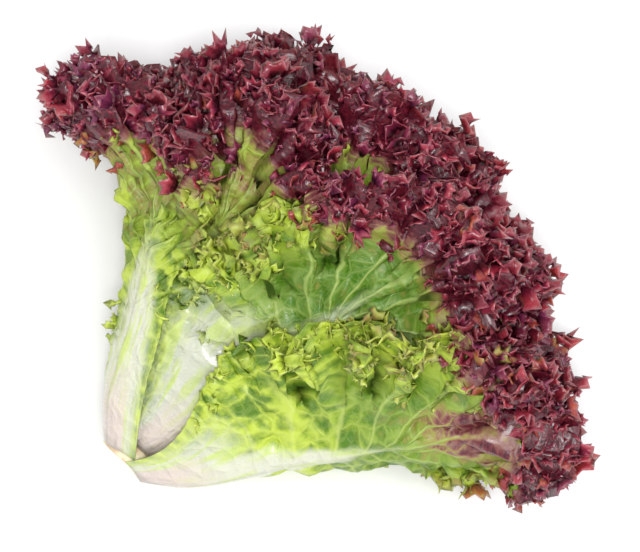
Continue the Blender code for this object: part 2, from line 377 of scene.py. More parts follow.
def on_shell(leaf, across, along):
    steps, nudge = 16, 0.01
    around = np.full(np.shape(across), math.radians(leaf.around))
    for _ in range(steps):
        ahead = shell_point(leaf, along, around + nudge)
        behind = shell_point(leaf, along, around - nudge)
        speed = np.linalg.norm(ahead - behind, axis=-1) / (2.0 * nudge)
        around = around + across / steps / np.maximum(speed, 4.0)
    return shell_point(leaf, along, around)


def laid_down(points):
    c, s = math.cos(math.radians(RISE)), math.sin(math.radians(RISE))
    x, y, z = points[..., 0], points[..., 1], points[..., 2]
    height = y * s + z * c
    bottom, slope, soft = -14.0, 0.5, 3.0
    over = height - bottom
    pressed = bottom + 0.5 * (1 + slope) * over + 0.5 * (1 - slope) * (np.hypot(over, soft) - soft)
    return np.stack([x, y * c - z * s, pressed], axis=-1)


def margin_width(leaf, share):
    """Half the leaf's width at a share of its length: a foot that opens to a round end."""
    shoulder = SHOULDER.get(leaf.number, 0.36)
    body = smooth(share, shoulder - 0.22, shoulder + 0.26)
    wider = FOOT_WIDER.get(leaf.number, 1.0)
    foot = FOOT * wider * (0.5 + 0.5 * leaf.shell) * stem_radius(ROOT_STEP * leaf.number)
    return (foot + (leaf.half_width - foot) * body) * np.sqrt(np.maximum(1.0 - share**6, 0.0))


def rib_foot(share):
    """Where the vein that ends at a share of the length leaves the rib, as a share of it too."""
    return TIP_RIB * (1.0 - np.maximum(1.0 - share, 0.0) ** (1.0 / TIP_RIB))


lengths = np.array([leaf.length for leaf in LEAVES])
print("the leaves' lengths run from", round(lengths.min()), "to", round(lengths.max()), "mm")

# %% [markdown]
# ## Where the head stands in the model
#
# The solids were moved so that the middle of the head's box is the origin. The stem is the one part
# that is the same here and there, so its box gives the move.

# %% The move from the plan to the model
SOLID_STEM_SIDES = 18
CUT_BEVEL = 1.0
turns = [2.0 * math.pi * i / SOLID_STEM_SIDES for i in range(SOLID_STEM_SIDES)]
solid_rings = [
    (STEM_RADIUS - CUT_BEVEL, 0.0),
    (STEM_RADIUS - 0.2 * CUT_BEVEL, 0.4 * CUT_BEVEL),
    (float(stem_radius(6.0)), 6.0),
    (float(stem_radius(24.0)), 24.0),
]
solid_stem = np.array([(r * math.cos(t), y, r * math.sin(t)) for r, y in solid_rings for t in turns])
plan_low = laid_down(solid_stem).min(axis=0)
ORIGIN = plan_low - stem_low / MILLIMETRE


def to_model(points):
    return (points - ORIGIN) * MILLIMETRE


print("the plan's origin in the model, mm:", np.round(-ORIGIN, 2))

# %% [markdown]
# ## A fine blade
#
# The blade is a net whose threads run from the rib to the margin, as the side veins do. Near the rib
# few threads are enough. Towards the frill their number doubles again and again, so that the
# triangles go where the detail is. Every point also keeps what the later steps need: how far up the
# leaf it is, how near the margin, which vein it is nearest, and how far along the margin it lies.
# Leaves with a long white foot stay calm there: they hardly wave below a share of their length.

# %% The net of a blade
ROWS = [0.0, 0.05, 0.10, 0.15, 0.20, 0.25, 0.30, 0.36, 0.42, 0.48, 0.54, 0.60, 0.66]
ROWS += [0.71, 0.75, 0.79, 0.83, 0.865, 0.90, 0.93, 0.96, 0.98, 1.0]
STRIDES = [8, 8, 4, 4, 4, 4, 4, 4, 2, 2, 2, 2]  # threads from one to the next; later rows skip none
CALM_BELOW = {0: 0.36, 1: 0.62, 3: 0.38, 4: 0.62, 6: 0.60, 9: 0.62, 14: 0.62}
VEIN_EVERY = 24
TOOTH_STEPS = (0.0, 0.75, 1.0, 0.15)
TOOTH_LONG = 4.6
LOBE_LONG = 1.2
LOBE_WAVE = 3.1


def stride(row):
    return STRIDES[row] if row < len(STRIDES) else 1


def margin_threads(leaf):
    """Shares of the length where the threads end, and how far along the margin each one is."""
    share = 0.5 - 0.5 * np.cos(np.linspace(0.0, math.pi, 600))
    wide, far = margin_width(leaf, share), share * leaf.length
    step = np.hypot(np.diff(wide), np.diff(far))
    run = np.concatenate([[0.0], np.cumsum(step * (0.7 + 0.3 * smooth(share[1:], 0.05, 0.25)))])
    arc = np.concatenate([[0.0], np.cumsum(step)])
    even = np.linspace(0.0, run[-1], leaf.columns + 1)
    return np.interp(even, run, share), np.interp(even, run, arc)


def calm(leaf, share):
    """0 where a leaf stays as smooth as its white foot, 1 where it waves as the others do."""
    if leaf.number not in CALM_BELOW:
        return np.ones_like(share)
    return smooth(share, CALM_BELOW[leaf.number] - 0.10, CALM_BELOW[leaf.number] + 0.14)


def blade_net(leaf):
    """Flat points and the measures that go with them, and the triangles that join them."""
    shares, arcs = margin_threads(leaf)
    last = leaf.columns
    rng = np.random.default_rng(100 + leaf.number)
    teeth = {}
    for side in (-1, 1):
        big = np.repeat(rng.uniform(0.35, 1.0, last // 4 + 2), 4)[: last + 1]
        teeth[side] = big * np.array([TOOTH_STEPS[i % 4] for i in range(last + 1)])
    index, rows, sides, columns = {}, [], [], []
    gathered = rib_foot(shares) > 0.985 * TIP_RIB

    def vertex(side, column, row):
        if row == 0 and gathered[column]:
            column = last
        key = (0 if row == 0 or column == last else side, column, row)
        if key not in index:
            index[key] = len(rows)
            rows.append(row)
            sides.append(side)
            columns.append(column)
        return index[key]

    faces = []
    for side in (-1, 1):
        for row in range(len(ROWS) - 1):
            coarse, fine = stride(row), stride(row + 1)
            for column in range(0, last, coarse):
                a, b = vertex(side, column, row), vertex(side, column + coarse, row)
                d, c = vertex(side, column, row + 1), vertex(side, column + coarse, row + 1)
                if fine < coarse:
                    e = vertex(side, column + fine, row + 1)
                    new = [(a, e, d), (a, b, e), (b, c, e)]
                elif (column // coarse + row) % 2:
                    new = [(a, b, c), (a, c, d)]
                else:
                    new = [(a, b, d), (b, c, d)]
                faces += [f if side > 0 else f[::-1] for f in new if len(set(f)) == 3]
    row, side, column = np.array(rows), np.array(sides), np.array(columns)
    share, reach = shares[column], np.array(ROWS)[row]
    foot = rib_foot(share) * leaf.length
    wide = margin_width(leaf, share)
    length = np.hypot(wide, leaf.length * share - foot) + 1e-6
    fade = smooth(share, 0.06, 0.28) * smooth(length, 4.0, 26.0) * (0.2 + 0.8 * calm(leaf, share))
    tooth = np.where(side > 0, teeth[1][column], teeth[-1][column]) * fade * smooth(reach, 0.90, 1.0)
    lobe = np.sin(arcs[column] / LOBE_WAVE + leaf.number) * fade * smooth(reach, 0.7, 1.0)
    out = reach * (1.0 + (TOOTH_LONG * tooth + LOBE_LONG * lobe) / length)
    across = np.where(column == last, 0.0, side * wide * out)
    along = foot + (leaf.length * share - foot) * out
    sign = np.where(side > 0, 1.0, -1.0)
    data = dict(share=share, reach=reach, fade=fade, length=length, row=row, side=side, column=column)
    data["flat"] = np.stack([across, along], axis=1)
    data["arc"] = sign * (arcs[-1] - arcs[column])
    data["vein"] = sign * (last - column) / VEIN_EVERY
    return data, np.array(faces)


net, net_faces = blade_net(LEAVES[0])
print("the largest leaf's net:", len(net["share"]), "points,", len(net_faces), "triangles")

# %% [markdown]
# ## Room for the frill
#
# A frill can only grow into the space that the next leaves leave it. So every blade is first laid
# out smooth and coarse. Then, at each place along a margin, a ray is sent outwards and one inwards to
# measure how far the neighbour is. The large waves grow with that room. This packs the crown of the
# head densely and keeps most blades clear of their neighbours. Only the small lobes reach further.

# %% Smooth blades as neighbours
FLOOR_IN_PLAN = ORIGIN[2]
FLOOR_WIDE = 400
COARSE_SHARES = np.linspace(0.0, 1.0, 25)
COARSE_REACH = np.linspace(-1.0, 1.0, 13)


def vertex_normals(points, faces):
    a, b, c = (points[faces[:, i]] for i in range(3))
    face_normals = np.cross(b - a, c - a)
    normals = np.zeros_like(points)
    for corner in range(3):
        np.add.at(normals, faces[:, corner], face_normals)
    return normals / np.maximum(np.linalg.norm(normals, axis=1, keepdims=True), 1e-9)


def coarse_blade(leaf):
    share, reach = np.meshgrid(COARSE_SHARES, COARSE_REACH, indexing="ij")
    foot = rib_foot(share) * leaf.length
    across = margin_width(leaf, share) * reach
    along = foot + (leaf.length * share - foot) * np.abs(reach)
    points = laid_down(on_shell(leaf, across.ravel(), along.ravel()))
    wide = len(COARSE_REACH)
    faces = []
    for i in range(len(COARSE_SHARES) - 1):
        for j in range(wide - 1):
            a = i * wide + j
            faces += [(a, a + 1, a + wide + 1), (a, a + wide + 1, a + wide)]
    return points, faces


coarse = [coarse_blade(leaf) for leaf in LEAVES]


def neighbours_of(number):
    """One search tree of the floor and of all smooth blades but this one."""
    points = [(x * FLOOR_WIDE, y * FLOOR_WIDE, FLOOR_IN_PLAN) for x, y in CORNERS]
    faces = [(0, 1, 2), (0, 2, 3)]
    for other, (blade, blade_faces) in enumerate(coarse):
        if other != number:
            start = len(points)
            points += blade.tolist()
            faces += [(a + start, b + start, c + start) for a, b, c in blade_faces]
    return BVHTree.FromPolygons(points, faces)


def blurred(values, reach):
    """A running mean along the margin."""
    kernel = np.hanning(2 * reach + 3)[1:-1]
    padded = np.pad(values, reach, mode="edge")
    return np.convolve(padded, kernel / kernel.sum(), mode="valid")


print("smooth blades:", len(coarse))

# %% [markdown]
# ## One leaf's surface with all its measures
#
# The flat net is laid on its shell and turned down to the floor. From the laid surface come the
# three directions that the frill moves in: out of the blade, along the margin, and on beyond the
# margin. The measures are kept on the mesh as named attributes, where both the frill tree and the
# skin material can read them.

# %% Lay a blade on its shell
ROOM_LEAST, ROOM_MOST = 0.8, 11.0
RAY_LONG = 40.0
PROBED_ROW = 0.93
ROOM_BLUR = 6  # threads


def margin_rooms(leaf, data, surface, out):
    """How far the next thing is, outwards and inwards, for every thread of both sides."""
    tree = neighbours_of(leaf.number)
    rooms = {}
    probe = int(np.argmin(np.abs(np.array(ROWS) - PROBED_ROW)))
    for side in (-1, 1):
        found = np.full((2, leaf.columns + 1), np.nan)
        here = (data["side"] == side) | (data["column"] == leaf.columns)
        for i in np.where((data["row"] == probe) & here)[0]:
            for which, sign in ((0, 1.0), (1, -1.0)):
                ray = Vector(out[i] * sign)
                _, _, _, distance = tree.ray_cast(Vector(surface[i]) + ray * 0.05, ray, RAY_LONG)
                found[which, data["column"][i]] = RAY_LONG if distance is None else distance
        for which in (0, 1):
            good = ~np.isnan(found[which])
            filled = np.interp(np.arange(leaf.columns + 1), np.where(good)[0], found[which][good])
            rooms[(side, which)] = blurred(np.clip(filled, ROOM_LEAST, ROOM_MOST), ROOM_BLUR)
    return rooms


def unit(vectors):
    return vectors / np.maximum(np.linalg.norm(vectors, axis=1, keepdims=True), 1e-6)


def laid_blade(leaf):
    data, faces = blade_net(leaf)
    flat = data["flat"]
    on_plan = on_shell(leaf, flat[:, 0], flat[:, 1])
    surface = laid_down(on_plan)
    out = vertex_normals(surface, faces)
    middle = on_plan - np.array([0.0, 1.0, 0.0]) * on_plan[:, 1:2]
    if np.sum(vertex_normals(on_plan, faces) * middle) < 0.0:
        out, faces = -out, faces[:, ::-1]
    beyond = unit(np.stack([flat[:, 0], flat[:, 1] - rib_foot(data["share"]) * leaf.length], axis=1))
    further = laid_down(on_shell(leaf, flat[:, 0] + beyond[:, 0], flat[:, 1] + beyond[:, 1]))
    down = unit(further - surface)
    rooms = margin_rooms(leaf, data, surface, out)
    positive, column = data["side"] > 0, data["column"]
    for which, name in ((0, "room_out"), (1, "room_in")):
        data[name] = np.where(positive, rooms[(1, which)][column], rooms[(-1, which)][column])
    data["out"], data["down"] = out, down
    data["margin_way"] = np.cross(down, out)
    return data, faces, surface


sample, _, _ = laid_blade(LEAVES[3])
for name in ("room_out", "room_in"):
    print("the top leaf's frill,", name, "in mm: up to", sample[name].max().round(1))

# %% [markdown]
# ## Ribs, puckers and colour measures
#
# A leaf's rib is thick and broad at its foot and dies away towards the tip. The side veins stand up a
# little, and between them the blade sinks in rows of hollows. More measures are worked out here
# because they follow the whole leaf: how white a point is, from the foot and the rib, how red, from
# its distance to the cut and to the margin, and how deep in the head it lies, where a deeper green
# and painted shade darken the blade.

# %% Measures for relief and colour
RIB_THICK, RIB_WIDE = 1.9, 7.5
OUTER_RIB_THICK = {0: 5.0, 1: 4.6, 2: 3.4}
FANNED = (1, 4, 6, 9, 14)  # the narrow upper leaves, whose side veins stand like a fan's
VEIN_THICK, FAN_EVERY, FAN_THICK = 0.6, 12, 1.3
PUCKER, PUCKER_LONG = 3.6, 2.6
WHITE_TO = {0: (22.0, 66.0), 1: (28.0, 96.0), 3: (56.0, 112.0), 8: (40.0, 108.0), 11: (34.0, 114.0)}
RIB_FADES = {0: 64.0, 1: 54.0, 3: 72.0, 6: 60.0, 9: 60.0, 14: 60.0}  # where a rib turns green
RED_FROM = {0: 132.0, 1: 106.0, 3: 122.0, 4: 104.0, 6: 114.0, 9: 112.0, 14: 116.0}  # from the cut
TINGE = {1: 0.34, 4: 0.34, 6: 0.38, 9: 0.36, 14: 0.38}  # brown-red flush of the open blade
FLUSH = {0: 0.70}  # a stronger flush, beside the rib
# how strongly a blade's deep middle is darkened: a deeper green and painted shade
HOLLOW_SHADE_AMOUNT = {3: 1.0, 8: 1.0, 0: 0.75}


def rib_height(leaf, data):
    across, along = data["flat"].T
    narrowing = np.clip(1.0 - along / leaf.length, 0.0, 1.0)
    ridge = np.exp(-((across / (RIB_WIDE * (0.4 + 0.6 * narrowing))) ** 2))
    height = OUTER_RIB_THICK.get(leaf.number, RIB_THICK)
    height = height * (0.35 + 0.65 * leaf.shell) * (0.12 + 0.88 * narrowing**1.2)
    return height * ridge * (0.5 + 0.5 * smooth(data["share"], 0.0, 0.12))


def vein_height(leaf, data):
    """Side veins as low ridges. The narrow upper leaves have more and higher ones, like a fan."""
    every, thick = (FAN_EVERY, FAN_THICK) if leaf.number in FANNED else (VEIN_EVERY, VEIN_THICK)
    away = np.abs((data["column"] + 0.5 * every) % every - 0.5 * every)
    ridge = np.clip(1.0 - away / (0.3 * every), 0.0, 1.0)
    inside = (1.0 - smooth(data["reach"], 0.35, 0.95)) * smooth(data["reach"], 0.0, 0.15)
    return thick * ridge * data["fade"] * inside


def pucker_depth(leaf, data):
    """How far the blade sinks between its side veins, in a row of hollows."""
    between = np.sin(math.pi * data["vein"]) ** 2
    inside = smooth(data["reach"], 0.03, 0.22) * (1.0 - smooth(data["reach"], 0.72, 0.95))
    run = data["reach"] * data["length"] / PUCKER_LONG
    row = np.sin(run + 2.4 * np.floor(data["vein"]) + leaf.number)
    upward = smooth(data["share"], 0.16, 0.40) * smooth(data["length"], 12.0, 40.0)
    return PUCKER * between * inside * upward * (0.62 + 0.38 * row)


def whiteness(leaf, data):
    """White foot and rib. The leaves on top keep a broad white foot for half their length."""
    across, along = data["flat"].T
    far = along + ROOT_STEP * leaf.number
    full, none = WHITE_TO.get(leaf.number, (26.0, 84.0))
    foot = 1.0 - smooth(far, full, none)
    foot = foot * (1.0 - 0.55 * smooth(data["reach"], 0.40, 0.95))
    rib_wide = 3.0 + (9.0 + 0.16 * full) * (1.0 - smooth(far, 10.0, none + 40.0))
    ends = RIB_FADES.get(leaf.number, 80.0)
    rib = 1.0 - smooth(np.abs(across), 0.35 * rib_wide, 1.25 * rib_wide)
    rib = rib * (1.0 - 0.8 * smooth(far, ends, 2.0 * ends))
    return np.clip(np.maximum(foot, rib), 0.0, 1.0)


def redness(leaf, data):
    """Red from the frill inwards, and a weaker flush on the open blade of some leaves."""
    across, along = data["flat"].T
    far = along + ROOT_STEP * leaf.number
    starts = RED_FROM.get(leaf.number, 112.0)
    margin = smooth(far, starts, starts + 36.0) * smooth(data["reach"], 0.30, 0.82)
    tinge = TINGE.get(leaf.number, 0.18) * smooth(far, 60.0, 120.0)
    if leaf.number in FLUSH:
        beside = 1.0 - smooth(np.abs(across), 10.0, 26.0)
        tinge = np.maximum(tinge, FLUSH[leaf.number] * smooth(far, 92.0, 140.0) * beside)
    return np.clip(np.maximum(margin, tinge), 0.0, 1.0)


def hollow_shade(leaf, data):
    """Half-way up, a blade's middle lies deep in the frills: a deeper green and painted shade."""
    far = data["flat"][:, 1] + ROOT_STEP * leaf.number
    inside = smooth(far, 62.0, 104.0) * (1.0 - smooth(data["reach"], 0.45, 0.85))
    return np.clip(HOLLOW_SHADE_AMOUNT.get(leaf.number, 0.45) * inside, 0.0, 1.0)


print("the first leaf's rib at its foot, mm:", round(float(rib_height(LEAVES[0], net).max()), 2))

# %% [markdown]
# ## The lobes of the frill
#
# Close up, the frill is a crowd of small lobes, each cut into sharp teeth, cupped, and crinkled like
# a torn ribbon. Ten such lobes are made by a rule with random draws. The frill tree sets hundreds of
# them on every leaf, in all directions. A lobe is two fans that share their rim, so it is closed,
# and it has only a few dozen faces because it is repeated so often.

# %% Lobe shapes
LOBE_KINDS = 10
LOBE_ACROSS = 8
LOBE_ROWS = (0.0, 0.62, 1.0)
LOBE_SIZE = 0.0078
LOBE_SPREAD = math.radians(64.0)
LOBE_TOOTH = 0.46
LOBE_THICK = 0.00040


def lobe_mesh(kind):
    rng = np.random.default_rng(900 + kind)
    turns = np.linspace(-1.0, 1.0, LOBE_ACROSS + 1) + rng.uniform(-0.06, 0.06, LOBE_ACROSS + 1)
    rim = 0.78 - 0.2 * turns**2 + rng.uniform(-0.14, 0.06, turns.shape)
    rim[1::2] += LOBE_TOOTH * rng.uniform(0.4, 1.0, rim[1::2].shape)
    rate, start = rng.uniform(3.0, 5.2), rng.uniform(0.0, 6.3)
    second = rng.uniform(0.0, 6.3)
    cup, curl = rng.uniform(-0.5, 0.5), rng.uniform(-0.7, 1.0)
    share, turn = np.repeat(LOBE_ROWS, len(turns)), np.tile(turns, len(LOBE_ROWS))
    long = np.tile(rim, len(LOBE_ROWS))
    angle = turn * LOBE_SPREAD * (0.6 + 0.4 * share)
    far = share * np.where(share > 0.99, long, 0.5 + 0.5 * long)
    wave = 0.30 * np.sin(rate * turn + start) + 0.14 * np.sin(2.7 * rate * turn + second)
    x = far * np.sin(angle) + 0.22 * turn * (1.0 - share)
    y = far * np.cos(angle) - 0.4 * abs(curl) * share**3
    z = wave * share**1.3 + cup * turn**2 * share**2 + 0.55 * curl * share**3
    points = np.stack([x, y, z], axis=1) * LOBE_SIZE
    wide, high = LOBE_ACROSS + 1, len(LOBE_ROWS)
    grid = np.arange(wide * high).reshape(high, wide)
    front = []
    for row in range(high - 1):
        for column in range(wide - 1):
            a, b = grid[row, column], grid[row, column + 1]
            d, c = grid[row + 1, column], grid[row + 1, column + 1]
            front += [(a, b, d), (b, c, d)] if (row + column) % 2 else [(a, b, c), (a, c, d)]
    normal = vertex_normals(points, np.array(front))
    inner = np.zeros((high, wide), bool)
    inner[1:-1, 1:-1] = True
    inner = inner.ravel()
    twin = np.arange(len(points))
    twin[inner] = len(points) + np.arange(inner.sum())
    back = [tuple(int(twin[i]) for i in face[::-1]) for face in front]
    both = np.concatenate([points, points[inner] - normal[inner] * LOBE_THICK])
    mesh = bpy.data.meshes.new(f"lobe_{kind}")
    mesh.from_pydata(both.tolist(), [], [tuple(map(int, face)) for face in front] + back)
    mesh.shade_smooth()
    shares = np.concatenate([share, share[inner]])
    spot = np.stack([both[:, 0], both[:, 1], shares], axis=1).astype(np.float32)
    mesh.attributes.new("lobe", "FLOAT_VECTOR", "POINT").data.foreach_set("vector", spot.ravel())
    return mesh


lobe_shelf = bpy.data.collections.new("lobe_shelf")
bpy.context.scene.collection.children.link(lobe_shelf)
for kind in range(LOBE_KINDS):
    lobe_shelf.objects.link(bpy.data.objects.new(f"lobe_{kind}", lobe_mesh(kind)))

# %% [markdown]
# ## The frill, as a Geometry Nodes tree
#
# The margin of this lettuce grows faster than the blade behind it, so it has to fold into waves, and
# the waves into smaller waves. The tree copies that in three sizes. It moves each point out of the
# blade by a sine of its distance along the margin, and along the margin by a second sine of twice the
# rate, which makes the waves lean over and curl like a dropped ribbon. Noise shifts the waves along,
# so that no two are alike. The same tree raises small blisters on the green blade, adds a crumple
# that all leaves share, keeps all above the floor, and gives the blade its thickness: it extrudes
# the skin, turns the first skin over, and merges the two, so that the result is closed. Last, it
# crowds the small lobes along the margin and joins them to the blade.

# %% The frill tree
FRILL_NUMBERS = {
    "Wavelength": 0.024, "Height": 0.80, "Overhang": 0.006, "Curl": 0.007,
    "Middle Wavelength": 0.0105, "Middle Height": 0.0034,
    "Fine Wavelength": 0.0044, "Fine Height": 0.0014,
    "Lobe Spacing": 0.0031, "Lobe Density": 66000.0, "Lobe Upright": 0.9, "Lobe Size": 0.94,
    "Crumple Size": 0.011, "Crumple Height": 0.0050,
    "Blister Size": 0.0085, "Blister Height": 0.0046,
    "Thickness": 0.0005, "Floor": 0.0006,
}
FRILL_KINDS = {"Geometry": "Geometry", "Seed": "Int", "Material": "Material", "Lobes": "Collection"}
TOUCHING = 0.00003  # the least height of any point of a finished leaf


def attribute(tree, name, kind="FLOAT"):
    made = add(tree, "GeometryNodeInputNamedAttribute", {"Name": name}, data_type=kind)
    return Wire(next(out for out in made.outputs if out.name == "Attribute" and out.enabled))


def moved(geometry, offset):
    return wire(geometry.tree, "GeometryNodeSetPosition", {"Geometry": geometry, "Offset": offset})


def kept_above(geometry, height):
    x, y, z = split(wire(geometry.tree, "GeometryNodeInputPosition"))
    place = wire(geometry.tree, "ShaderNodeCombineXYZ", {0: x, 1: y, 2: calc("MAXIMUM", z, height)})
    return wire(geometry.tree, "GeometryNodeSetPosition", {"Geometry": geometry, "Position": place})


def together(*parts):
    joined = parts[0].tree.nodes.new("GeometryNodeJoinGeometry")
    for part in parts:
        give(joined.inputs[0], part)
    return Wire(joined.outputs[0])


def waved_skin(tree, given, out, margin_way, down):
    """The blade with its blisters, its crumple and its waves of three sizes."""
    seed = given["Seed"] * 7.31
    arc = attribute(tree, "arc")

    def noise(length, offset, amount, base):
        """A slow random value along the margin: base, give or take half the amount."""
        at = arc / (length * 1.6) + (seed + offset)
        entries = {"W": at, "Scale": 1.0, "Detail": 1.0}
        return (wire(tree, "ShaderNodeTexNoise", entries, noise_dimensions="1D") - 0.5) * amount + base

    def phase(length, offset):
        """An angle that advances unevenly with the distance along the margin."""
        return arc / length * (2.0 * math.pi) + noise(length, offset, 12.0, 0.0)

    def sine(angle, rate):
        return calc("SINE", angle * rate)

    # large waves, which fill the room between this leaf and its neighbours
    large = attribute(tree, "large")
    angle = phase(given["Wavelength"], 0.0)
    wave = sine(angle, 1.0)
    room = wire(tree, "ShaderNodeMix", {"Factor": ramp(wave, -0.25, 0.25), "A": attribute(tree, "room_in"),
                                        "B": attribute(tree, "room_out")})
    lift = wave * room * given["Height"] * noise(given["Wavelength"], 11.0, 1.4, 1.0) * large
    lean = sine(angle, 2.0) * given["Overhang"] * large
    curl = calc("ABSOLUTE", wave) * given["Curl"] * large * large * -1.0
    cells = wire(tree, "ShaderNodeTexVoronoi",
                 {"Vector": attribute(tree, "place", "FLOAT_VECTOR"), "Scale": 1.0 / given["Blister Size"],
                  "Smoothness": 0.5}, feature="SMOOTH_F1")
    dome = (0.55 - cells) * given["Blister Height"] * attribute(tree, "blister")
    along = scaled(margin_way, lean)
    shape = moved(given["Geometry"], vector_sum("ADD", scaled(out, lift + dome), along, scaled(down, curl)))

    # a crumple that is the same for all leaves at one place in the head, so that they don't cross
    spot = wire(tree, "GeometryNodeInputPosition")
    entries = {"Vector": spot, "Scale": 1.0 / given["Crumple Size"], "Detail": 1.5}
    push = vector_sum("SUBTRACT", wire(tree, "ShaderNodeTexNoise", entries, 1), (0.5, 0.5, 0.5))
    shape = moved(shape, scaled(push, given["Crumple Height"] * 2.0 * attribute(tree, "crumple")))

    # middle and fine waves, each square to the surface that the waves before it made
    for label, offset in (("Middle", 40.0), ("Fine", 80.0)):
        length = given[f"{label} Wavelength"]
        strength = attribute(tree, label.lower())
        angle = phase(length, offset)
        height = given[f"{label} Height"] * noise(length, offset + 9.0, 1.6, 1.0) * strength
        normal = wire(tree, "GeometryNodeInputNormal")
        along = scaled(margin_way, sine(angle, 2.0) * height * 0.55)
        shape = moved(shape, vector_sum("ADD", scaled(normal, sine(angle, 1.0) * height), along))
    return kept_above(shape, given["Floor"])


def thick_blade(tree, given, skin):
    """The skin and its twin on the outer side, which carries the rib, as one closed surface."""
    entries = {"Mesh": skin, "Offset Scale": given["Thickness"], "Individual": False}
    thick = add(tree, "GeometryNodeExtrudeMesh", entries, mode="FACES")
    rib = scaled(wire(tree, "GeometryNodeInputNormal"), attribute(tree, "rib"))
    ribbed = wire(tree, "GeometryNodeSetPosition",
                  {"Geometry": Wire(thick.outputs["Mesh"]), "Selection": Wire(thick.outputs["Top"]),
                   "Offset": rib})
    both = together(ribbed, wire(tree, "GeometryNodeFlipFaces", {"Mesh": skin}))
    return wire(tree, "GeometryNodeMergeByDistance", {"Geometry": both, "Distance": 0.000002})


def crowded_lobes(tree, given, skin, out, margin_way, down):
    """Small toothed lobes, crowded towards the margin and turned in all directions."""
    def chance(low, high, offset):
        made = add(tree, "FunctionNodeRandomValue", data_type="FLOAT")
        wanted = {"Min": low, "Max": high, "Seed": given["Seed"] + offset}
        for socket in made.inputs:
            if socket.enabled and socket.name in wanted:
                give(socket, wanted[socket.name])
        return Wire(next(out for out in made.outputs if out.enabled))

    points = wire(tree, "GeometryNodeDistributePointsOnFaces",
                  {"Mesh": skin, "Distance Min": given["Lobe Spacing"], "Density Max": given["Lobe Density"],
                   "Density Factor": attribute(tree, "crowd"), "Seed": given["Seed"]},
                  distribute_method="POISSON")
    way = vector_sum("ADD", scaled(down, chance(-0.15, 1.1, 1)),
                     scaled(out, chance(-0.35, 1.0, 2) * given["Lobe Upright"]),
                     scaled(margin_way, chance(-0.9, 0.9, 3)))
    facing = vector_sum("ADD", scaled(out, chance(-0.4, 1.0, 4)),
                        scaled(margin_way, chance(-1.0, 1.0, 5)), scaled(down, chance(-0.6, 0.2, 6)))
    turned = wire(tree, "FunctionNodeAxesToRotation", {0: way, 1: facing},
                  primary_axis="Y", secondary_axis="Z")
    tagged = add(tree, "GeometryNodeStoreNamedAttribute", {"Geometry": points, "Name": "chance"},
                 data_type="FLOAT", domain="POINT")
    give(next(i for i in tagged.inputs if i.name == "Value" and i.enabled), chance(0.0, 1.0, 7))
    shelf = wire(tree, "GeometryNodeCollectionInfo",
                 {"Collection": given["Lobes"], "Separate Children": True, "Reset Children": True})
    size = calc("POWER", chance(0.0, 1.0, 8), 2.0) * 0.78 + 0.42
    crowd = wire(tree, "GeometryNodeInstanceOnPoints",
                 {"Points": Wire(tagged.outputs[0]), "Instance": shelf, "Pick Instance": True,
                  "Rotation": turned, "Scale": size * given["Lobe Size"] * attribute(tree, "lobe_size")})
    return kept_above(wire(tree, "GeometryNodeRealizeInstances", {"Geometry": crowd}), given["Floor"])


def frill_tree():
    tree = bpy.data.node_groups.new("frilled blade", "GeometryNodeTree")
    tree.interface.new_socket("Geometry", in_out="OUTPUT", socket_type="NodeSocketGeometry")
    given = open_group(tree, FRILL_KINDS, FRILL_NUMBERS)
    ways = [attribute(tree, name, "FLOAT_VECTOR") for name in ("out", "margin_way", "down")]
    skin = waved_skin(tree, given, *ways)
    whole = together(thick_blade(tree, given, skin), crowded_lobes(tree, given, skin, *ways))
    soft = wire(tree, "GeometryNodeSetShadeSmooth", {"Geometry": kept_above(whole, TOUCHING)})
    dressed = wire(tree, "GeometryNodeSetMaterial", {"Geometry": soft, "Material": given["Material"]})
    give(tree.nodes.new("NodeGroupOutput").inputs[0], dressed)
    return tree


FRILL_TREE = frill_tree()
print("frill tree:", len(FRILL_TREE.nodes), "nodes")

# %% [markdown]
# ## The skin of a leaf
#
# One finish covers every leaf, because a leaf has no borders between its colours. Two masks that lie
# on the blade, white and red, are broken up with noise. White leads to a glassy cream foot, with a
# touch of pink. Red leads through olive and rust to a dark wine colour. Light and shade are painted
# into it too: a darker wine, partly at random and partly painted shade towards the foot of each lobe;
# painted rose highlights on the lobes' rims; a paler lime, partly a painted glow, on random green
# lobes; and a darker green, partly painted shade, in the blade's hollows and deep middle. Side veins
# follow the threads of the net, and a net of small veins comes from the edges of two Voronoi
# patterns. Veins are paler than the blade and stand up from it.

# %% The leaf colour group
CREAM = paint(202, 204, 184)
STREAK = paint(190, 206, 122)
FOOT_PINK = paint(206, 192, 184)
LIME = paint(182, 202, 58)
# a deeper lime, partly at random and partly painted shade in the hollows between the small veins
LIME_DEEP_AND_SHADE = paint(78, 118, 12)
# a deeper green with painted shade, for the deep middle of a blade
SHADED_HOLLOW_GREEN = paint(70, 116, 14)
# a paler lime, partly a painted glow of light through thin lobes
PALE_LIME_AND_GLOW = paint(206, 220, 92)
VEIN_PALE = paint(202, 212, 126)
OLIVE = paint(152, 146, 72)
DUSK = paint(138, 92, 82)
RUST = paint(168, 70, 52)
WINE = paint(122, 30, 50)
# the darkest wine: partly a random tone, partly painted shade
WINE_DARK_AND_SHADE = paint(52, 8, 22)
PLUM = paint(112, 46, 84)
CRIMSON = paint(172, 44, 64)
# painted highlight: a rose that stands for gloss and for light shining through thin edges
ROSE_RIM_HIGHLIGHT = paint(204, 96, 112)

COLOUR_KINDS = {"Place": "Vector", "Flat": "Vector", "Fan": "Vector"}
COLOUR_NUMBERS = dict.fromkeys(("Red", "White", "Vein", "Reach", "Chance", "Pink", "Hollow Shade", "Rim"), 0.0)
COLOUR_RESULTS = {"Color": "Color", "Relief": "Float", "Redness": "Float", "Wet": "Float"}


